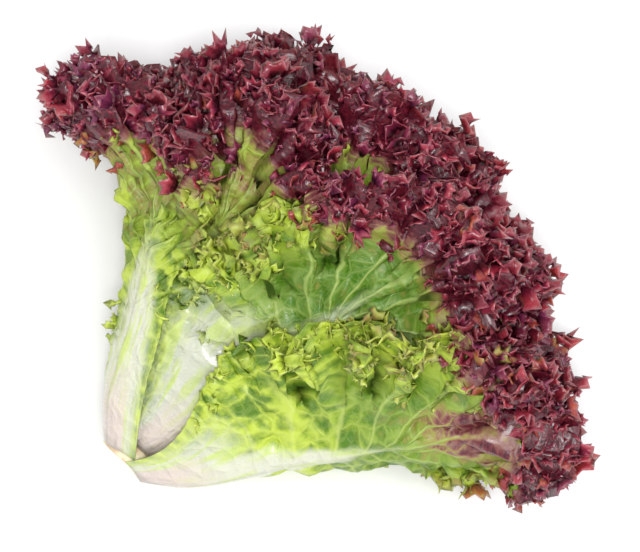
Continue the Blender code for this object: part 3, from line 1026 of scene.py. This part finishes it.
def leaf_colour_group():
    tree = bpy.data.node_groups.new("leaf colours", "ShaderNodeTree")
    given = open_group(tree, COLOUR_KINDS, COLOUR_NUMBERS)
    for name, kind in COLOUR_RESULTS.items():
        tree.interface.new_socket(name, in_out="OUTPUT", socket_type=f"NodeSocket{kind}")

    def noise(vector, scale, detail, output=0):
        entries = {"Vector": vector, "Scale": scale, "Detail": detail}
        return wire(tree, "ShaderNodeTexNoise", entries, output)

    def centred(value, amount):
        return (value - 0.5) * amount

    def cell_edges(scale):
        entries = {"Vector": warped, "Scale": scale}
        return wire(tree, "ShaderNodeTexVoronoi", entries, feature="DISTANCE_TO_EDGE")

    place = given["Place"]
    broad, medium, small = noise(place, 60.0, 3.0), noise(place, 220.0, 3.0), noise(place, 900.0, 4.0)
    warped = vector_sum("ADD", given["Flat"], scaled(noise(given["Flat"], 90.0, 3.0, 1), 0.006))
    streaks = noise(vector_sum("MULTIPLY", given["Fan"], (1.0, 0.10, 1.0)), 420.0, 4.0)
    on_blade = 1.0 - ramp(given["Rim"], 0.0, 0.1)
    on_lobe = 1.0 - on_blade

    # veins
    away = calc("ABSOLUTE", calc("FRACT", given["Vein"] + centred(broad, 0.5) + 0.5) - 0.5)
    side_vein = (1.0 - ramp(away, 0.01, 0.10)) * (1.0 - ramp(given["Reach"], 0.4, 0.9))
    cells, small_cells = cell_edges(110.0), cell_edges(330.0)
    veins = calc("MAXIMUM", side_vein * 0.8, (1.0 - ramp(cells, 0.0, 0.13)) * 0.42)
    veins = calc("MAXIMUM", veins, (1.0 - ramp(small_cells, 0.0, 0.16)) * 0.24) * on_blade

    # green blade and white foot
    # deeper lime at random, and as painted shade where the bump sinks between the small veins
    green = mixed(ramp(broad + (centred(medium, 0.7) + cells), 0.42, 0.92), LIME, LIME_DEEP_AND_SHADE)
    # the deep middle of a blade darkened: a deeper green and painted shade
    green = mixed(given["Hollow Shade"] * on_blade, green, SHADED_HOLLOW_GREEN)
    green = mixed(veins * 0.5, green, VEIN_PALE)
    # paler lime towards the tips of random lobes: partly a painted glow, for light through the thin lobes
    green = mixed(ramp(given["Rim"], 0.3, 1.0) * ramp(given["Chance"], 0.1, 0.8), green, PALE_LIME_AND_GLOW)
    pale = mixed(ramp(streaks, 0.46, 0.64), CREAM, STREAK)
    pale = mixed(ramp(given["White"], 0.90, 1.0) * given["Pink"], pale, FOOT_PINK)
    less_white = given["White"] * (on_blade * 0.26 + 0.74)
    white = ramp(less_white + (centred(medium, 0.25) + centred(streaks, 0.6)), 0.18, 0.90)
    plain = mixed(white, green, pale)

    # from olive to wine red
    red = given["Red"] + (centred(broad, 0.55) + centred(medium, 0.55)) - veins * 0.42
    red = red + ramp(given["Red"], 0.02, 0.35) * on_lobe * 0.26
    red = red * (1.0 - white * 0.6)
    pale_lobe = ramp(calc("FRACT", given["Chance"] * 13.0), 0.72, 1.0) * on_lobe
    red = red - pale_lobe * 0.64
    colour = mixed(ramp(red, 0.12, 0.42), plain, OLIVE)
    colour = mixed(ramp(red, 0.34, 0.58), colour, mixed(on_lobe, DUSK, RUST))
    colour = mixed(ramp(red, 0.50, 0.78), colour, WINE)
    deep = ramp(red, 0.50, 0.80)
    # darkest wine at random, and as painted shade towards the foot of each lobe
    dark_and_shade = ramp(centred(small, 1.2) - given["Rim"] * 0.55, -0.40, 0.25)
    colour = mixed(deep * dark_and_shade, colour, WINE_DARK_AND_SHADE)
    plum_lobe = ramp(calc("FRACT", given["Chance"] * 7.0), 0.5, 0.9)
    colour = mixed(deep * (plum_lobe * 0.6), colour, PLUM)
    bright = deep * ramp(given["Chance"], 0.5, 1.0) * ramp(given["Rim"], 0.2, 0.9)
    colour = mixed(bright * 0.7, colour, CRIMSON)
    # painted highlight: rose on the lobes' rims, for gloss and light through the thin edges
    rim = ramp(given["Rim"] + centred(small, 0.3), 0.84, 1.0) * ramp(red, 0.30, 0.7)
    colour = mixed(rim * 0.7, colour, ROSE_RIM_HIGHLIGHT)

    hollow = ramp(cells, 0.0, 0.35) * on_blade
    redness_now = ramp(red, 0.4, 0.8)
    end = tree.nodes.new("NodeGroupOutput")
    give(end.inputs["Color"], colour)
    give(end.inputs["Relief"], veins * 0.8 + small * 0.4 - hollow * 0.9 + streaks * white * 1.6)
    give(end.inputs["Redness"], redness_now)
    give(end.inputs["Wet"], white * 0.5 + redness_now * 0.25 + 0.12)
    return tree


LEAF_COLOURS = leaf_colour_group()


def leaf_material():
    made = bpy.data.materials.new("leaf_skin")
    made.use_nodes = True
    tree = made.node_tree
    shader = tree.nodes["Principled BSDF"]

    def kept(name, output="Vector"):
        return wire(tree, "ShaderNodeAttribute", None, output, attribute_name=name)

    red, white, vein = split(kept("tones"))
    # the first part of zone darkens a blade's deep middle: a deeper green and painted shade
    hollow, reach, pink = split(kept("zone"))
    entries = {
        "Place": wire(tree, "ShaderNodeTexCoord", None, "Object"),
        "Flat": kept("place"),
        "Fan": kept("fan"),
        "Red": red,
        "White": white,
        "Vein": vein,
        "Reach": reach,
        "Chance": kept("chance", "Fac"),
        "Pink": pink,
        "Hollow Shade": hollow,
        "Rim": split(kept("lobe"))[2],
    }
    colours = add(tree, "ShaderNodeGroup", entries, node_tree=LEAF_COLOURS)
    colour, relief, redness_now, wet = (Wire(colours.outputs[name]) for name in COLOUR_RESULTS)
    bump = wire(tree, "ShaderNodeBump", {"Height": relief, "Distance": 0.0009, "Strength": 0.7})
    for name, value in {
        "Base Color": colour,
        "Roughness": 0.46 - redness_now * 0.18,
        "Normal": bump,
        "Subsurface Weight": 0.25,
        "Subsurface Radius": (0.004, 0.003, 0.0015),
        "Subsurface Scale": 1.0,
        "Specular IOR Level": 0.4,
        "Coat Weight": wet,
        "Coat Roughness": 0.14,
    }.items():
        give(shader.inputs[name], value)
    return made


LEAF_SKIN = leaf_material()
print("leaf colours:", len(LEAF_COLOURS.nodes), "nodes")

# %% [markdown]
# ## Make the leaves
#
# Each leaf's net becomes a mesh with its named attributes. The frill tree runs on it as a modifier,
# with values for this leaf, and the result is kept as a plain closed mesh. The attributes that only
# the tree needs are dropped. Every piece stands for one solid of the model and rides on its body.

# %% Make the leaves
CROWD_TIP, CROWD_SIDE = 40.0, 13.0  # mm: how deep the crowd of lobes is
CROWD_FROM = {0: 0.16, 1: 0.70, 2: 0.24, 3: 0.24, 4: 0.70, 5: 0.30, 6: 0.70, 8: 0.40, 9: 0.70, 14: 0.70}
DEEP_SIDE = {0: (1.0, 34.0, 0.36), 3: (-1.0, 36.0, 0.27)}  # a side, how deep, and from which share
PATCHES = {1: (-1.0, 0.20, 0.46), 4: (1.0, 0.24, 0.44)}  # lobes low on one side: from and to a share
GATHER = {1: 60.0, 6: 60.0, 9: 60.0, 14: 60.0}  # mm from the margin where the large waves begin
FAN_SPREAD = 0.020
HEART_FROM = 14  # the first of the leaves in the heart
FOR_THE_TREE = ("out", "down", "margin_way")


def lobe_crowd(leaf, data, inward):
    """How crowded the lobes stand, and how deep the band is that they stand in."""
    share = data["share"]
    band = CROWD_SIDE + (CROWD_TIP - CROWD_SIDE) * smooth(share, 0.35, 0.75)
    starts = np.full(len(share), CROWD_FROM.get(leaf.number, 0.50))
    if leaf.number in DEEP_SIDE:
        side, deep, low = DEEP_SIDE[leaf.number]
        here = data["side"] * side > 0
        band = np.where(here, np.maximum(band, deep), band)
        starts = np.where(here, low, starts)
    crowd = (1.0 - smooth(inward, 0.35 * band, band)) * smooth(share, starts, starts + 0.14)
    crowd = crowd * smooth(data["length"], 6.0, 24.0)
    if leaf.number in PATCHES:
        side, low, high = PATCHES[leaf.number]
        patch = smooth(share, low, low + 0.08) * (1.0 - smooth(share, high - 0.08, high))
        patch = patch * (data["side"] * side > 0) * (1.0 - smooth(inward, 2.0, 7.0))
        crowd = np.maximum(crowd, 0.8 * patch)
    return crowd * (1.0 if leaf.number < HEART_FROM else 0.6), band


def leaf_numbers(leaf, data, inward):
    """The measures that only the frill tree reads."""
    share, fade = data["share"], data["fade"]
    gather = np.minimum(GATHER.get(leaf.number, 46.0), 0.85 * data["length"]) + 9.5
    middle = fade * (1.0 - smooth(inward, 3.0, 22.0))
    crowd, band = lobe_crowd(leaf, data, inward)
    lobe_size = (0.85 + 0.3 * (1.0 - smooth(inward, 2.0, band))) * (0.84 + 0.28 * smooth(share, 0.45, 0.95))
    crumple = np.clip(fade * (0.25 + 0.75 * smooth(data["reach"], 0.1, 0.7)), 0.0, 1.0)
    return {
        "arc": data["arc"] * MILLIMETRE,
        "large": fade * (1.0 - smooth(inward, 9.0, gather)) * calm(leaf, share),
        "middle": middle,
        "fine": fade * (1.0 - smooth(inward, 1.0, 9.0)),
        "crowd": crowd,
        "crumple": crumple * smooth(share, 0.1, 0.45),
        "lobe_size": lobe_size,
        "room_out": data["room_out"] * MILLIMETRE,
        "room_in": data["room_in"] * MILLIMETRE,
        "rib": (rib_height(leaf, data) + vein_height(leaf, data)) * MILLIMETRE,
        "blister": (1.0 - whiteness(leaf, data)) * smooth(share, 0.1, 0.4) * (1.0 - 0.7 * middle),
    }


def leaf_vectors(leaf, data):
    """The directions that the frill moves in, and the measures that the skin's colours come from."""
    across, along = data["flat"].T
    apart = np.full(len(along), leaf.number * 0.37)
    spread = np.maximum(margin_width(leaf, np.clip(along / leaf.length, 0.0, 0.999)), 6.0)
    foot = 1.0 - smooth(along, 6.0, 42.0)
    vectors = {
        "place": (across * MILLIMETRE, along * MILLIMETRE, apart),
        "fan": (FAN_SPREAD * across / spread, along * MILLIMETRE, apart),
        "tones": (redness(leaf, data), whiteness(leaf, data), data["vein"]),
        "zone": (hollow_shade(leaf, data), data["reach"], foot),
        "lobe": np.zeros((3, len(along))),
    }
    for name in FOR_THE_TREE:
        vectors[name] = data[name].T
    return vectors


def run_tree(piece, tree, values):
    """Runs a node tree on a piece with named values, and keeps the result as a plain mesh."""
    modifier = piece.modifiers.new("tree", "NODES")
    modifier.node_group = tree
    for item in tree.interface.items_tree:
        if item.item_type == "SOCKET" and item.in_out == "INPUT" and item.name in values:
            modifier[item.identifier] = values[item.name]
    bpy.context.view_layer.update()
    shaped = bpy.data.meshes.new_from_object(piece.evaluated_get(bpy.context.evaluated_depsgraph_get()))
    piece.modifiers.remove(modifier)
    piece.data = shaped


def make_leaf(leaf):
    name = f"leaf_{leaf.number + 1:02d}_frilled"
    data, faces, surface = laid_blade(leaf)
    mesh = bpy.data.meshes.new(name)
    sunk = surface - data["out"] * pucker_depth(leaf, data)[:, None]
    mesh.from_pydata(to_model(sunk).tolist(), [], faces.tolist())
    numbers = leaf_numbers(leaf, data, (1.0 - data["reach"]) * data["length"])
    for key, values in numbers.items():
        values = np.asarray(values, dtype=np.float32)
        mesh.attributes.new(key, "FLOAT", "POINT").data.foreach_set("value", values)
    for key, parts in leaf_vectors(leaf, data).items():
        values = np.stack(parts, axis=1).astype(np.float32).ravel()
        mesh.attributes.new(key, "FLOAT_VECTOR", "POINT").data.foreach_set("vector", values)
    piece = linked(name, mesh)
    run_tree(piece, FRILL_TREE, {
        "Wavelength": 0.021 + 0.003 * (leaf.number % 3),
        "Seed": leaf.number + 3,
        "Material": LEAF_SKIN,
        "Lobes": lobe_shelf,
    })
    for key in (*numbers, *FOR_THE_TREE):
        if key in piece.data.attributes:
            piece.data.attributes.remove(piece.data.attributes[key])
    piece.data.name = name
    return piece


counts = []
for leaf in LEAVES:
    made = make_leaf(leaf)
    counts.append(len(made.data.polygons))
    node = f"leaf_{leaf.number + 1:02d}"
    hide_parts(node)
    "heart_leaf" if leaf.number >= HEART_FROM else "leaf"
    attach(made, ROOT_BODY)
for shape_object in list(lobe_shelf.objects):
    bpy.data.objects.remove(shape_object)
bpy.data.collections.remove(lobe_shelf)
print("leaves:", len(counts), "with triangles:", sum(counts), "the most in one:", max(counts))

# %% [markdown]
# ## The cut stem
#
# The stem is a short cone of cream pith. A knife left its face almost flat, with a slightly raised
# rim, and milky juice dried on it to a rusty tint. The stem swells a little at the cut, into the
# feet of the leaves.

# %% Stem
STEM_SIDES = 72
HEEL, HEEL_LONG = 0.6, 20.0  # how far the stem swells at the cut, and how far up
CUT_FACE = [(0.0, 0.35), (3.0, 0.32), (6.0, 0.22), (8.5, 0.10)]  # radius and height of each ring
CUT_FACE += [(STEM_RADIUS - 1.0, 0.0), (STEM_RADIUS - 0.45, 0.12), (STEM_RADIUS - 0.1, 0.5)]
CONE_AT = (2.0, 5.0, 9.0, 14.0, 20.0, 27.0, 34.0, 42.0, 50.0, 57.0)


def stem_surface():
    rings = CUT_FACE + [(float(stem_radius(height)), height) for height in CONE_AT]
    rings += [(1.4, STEM_LENGTH), (0.0, STEM_LENGTH + 1.0)]
    turns = 2.0 * math.pi * np.arange(STEM_SIDES) / STEM_SIDES
    uneven = 1.0 + 0.012 * np.sin(3 * turns + 1.0) + 0.008 * np.sin(7 * turns)
    points, faces = [], []
    for radius, height in rings:
        heel = HEEL * min(radius / STEM_RADIUS, 1.0) * max(1.0 - height / HEEL_LONG, 0.0)
        wide = radius * uneven + heel
        points += list(zip(wide * np.cos(turns), [height] * STEM_SIDES, wide * np.sin(turns)))
    for ring in range(len(rings) - 1):
        for i in range(STEM_SIDES):
            a, b = ring * STEM_SIDES + i, ring * STEM_SIDES + (i + 1) % STEM_SIDES
            faces.append((a, a + STEM_SIDES, b + STEM_SIDES, b))
    placed = to_model(laid_down(np.array(points)))
    placed[:, 2] = np.maximum(placed[:, 2], 0.0)
    return placed, faces


stem_points, stem_faces = stem_surface()
stem_mesh = bpy.data.meshes.new("stem_cut")
stem_mesh.from_pydata(stem_points.tolist(), [], stem_faces)
shape = bmesh.new()
shape.from_mesh(stem_mesh)
bmesh.ops.remove_doubles(shape, verts=shape.verts, dist=0.00001)
bmesh.ops.recalc_face_normals(shape, faces=shape.faces)
shape.to_mesh(stem_mesh)
shape.free()
stem_mesh.shade_smooth()
stem = linked("stem_cut", stem_mesh)

stem_skin = bpy.data.materials.new("stem_pith")
stem_skin.use_nodes = True
tree = stem_skin.node_tree
shader = tree.nodes["Principled BSDF"]
coords = wire(tree, "ShaderNodeTexCoord", None, "Object")
cloud = wire(tree, "ShaderNodeTexNoise", {"Vector": coords, "Scale": 140.0, "Detail": 5.0})
grain = wire(tree, "ShaderNodeTexNoise", {"Vector": coords, "Scale": 900.0, "Detail": 3.0})
tan = mixed(ramp(cloud, 0.42, 0.68), paint(232, 222, 186), paint(198, 160, 120))
give(shader.inputs["Base Color"], tan)
bump = wire(tree, "ShaderNodeBump", {"Height": cloud + grain, "Distance": 0.0006, "Strength": 0.6})
give(shader.inputs["Normal"], bump)
give(shader.inputs["Roughness"], 0.5)
stem_mesh.materials.append(stem_skin)
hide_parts("stem")
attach(stem, ROOT_BODY)
print("stem:", len(stem_mesh.polygons), "faces")
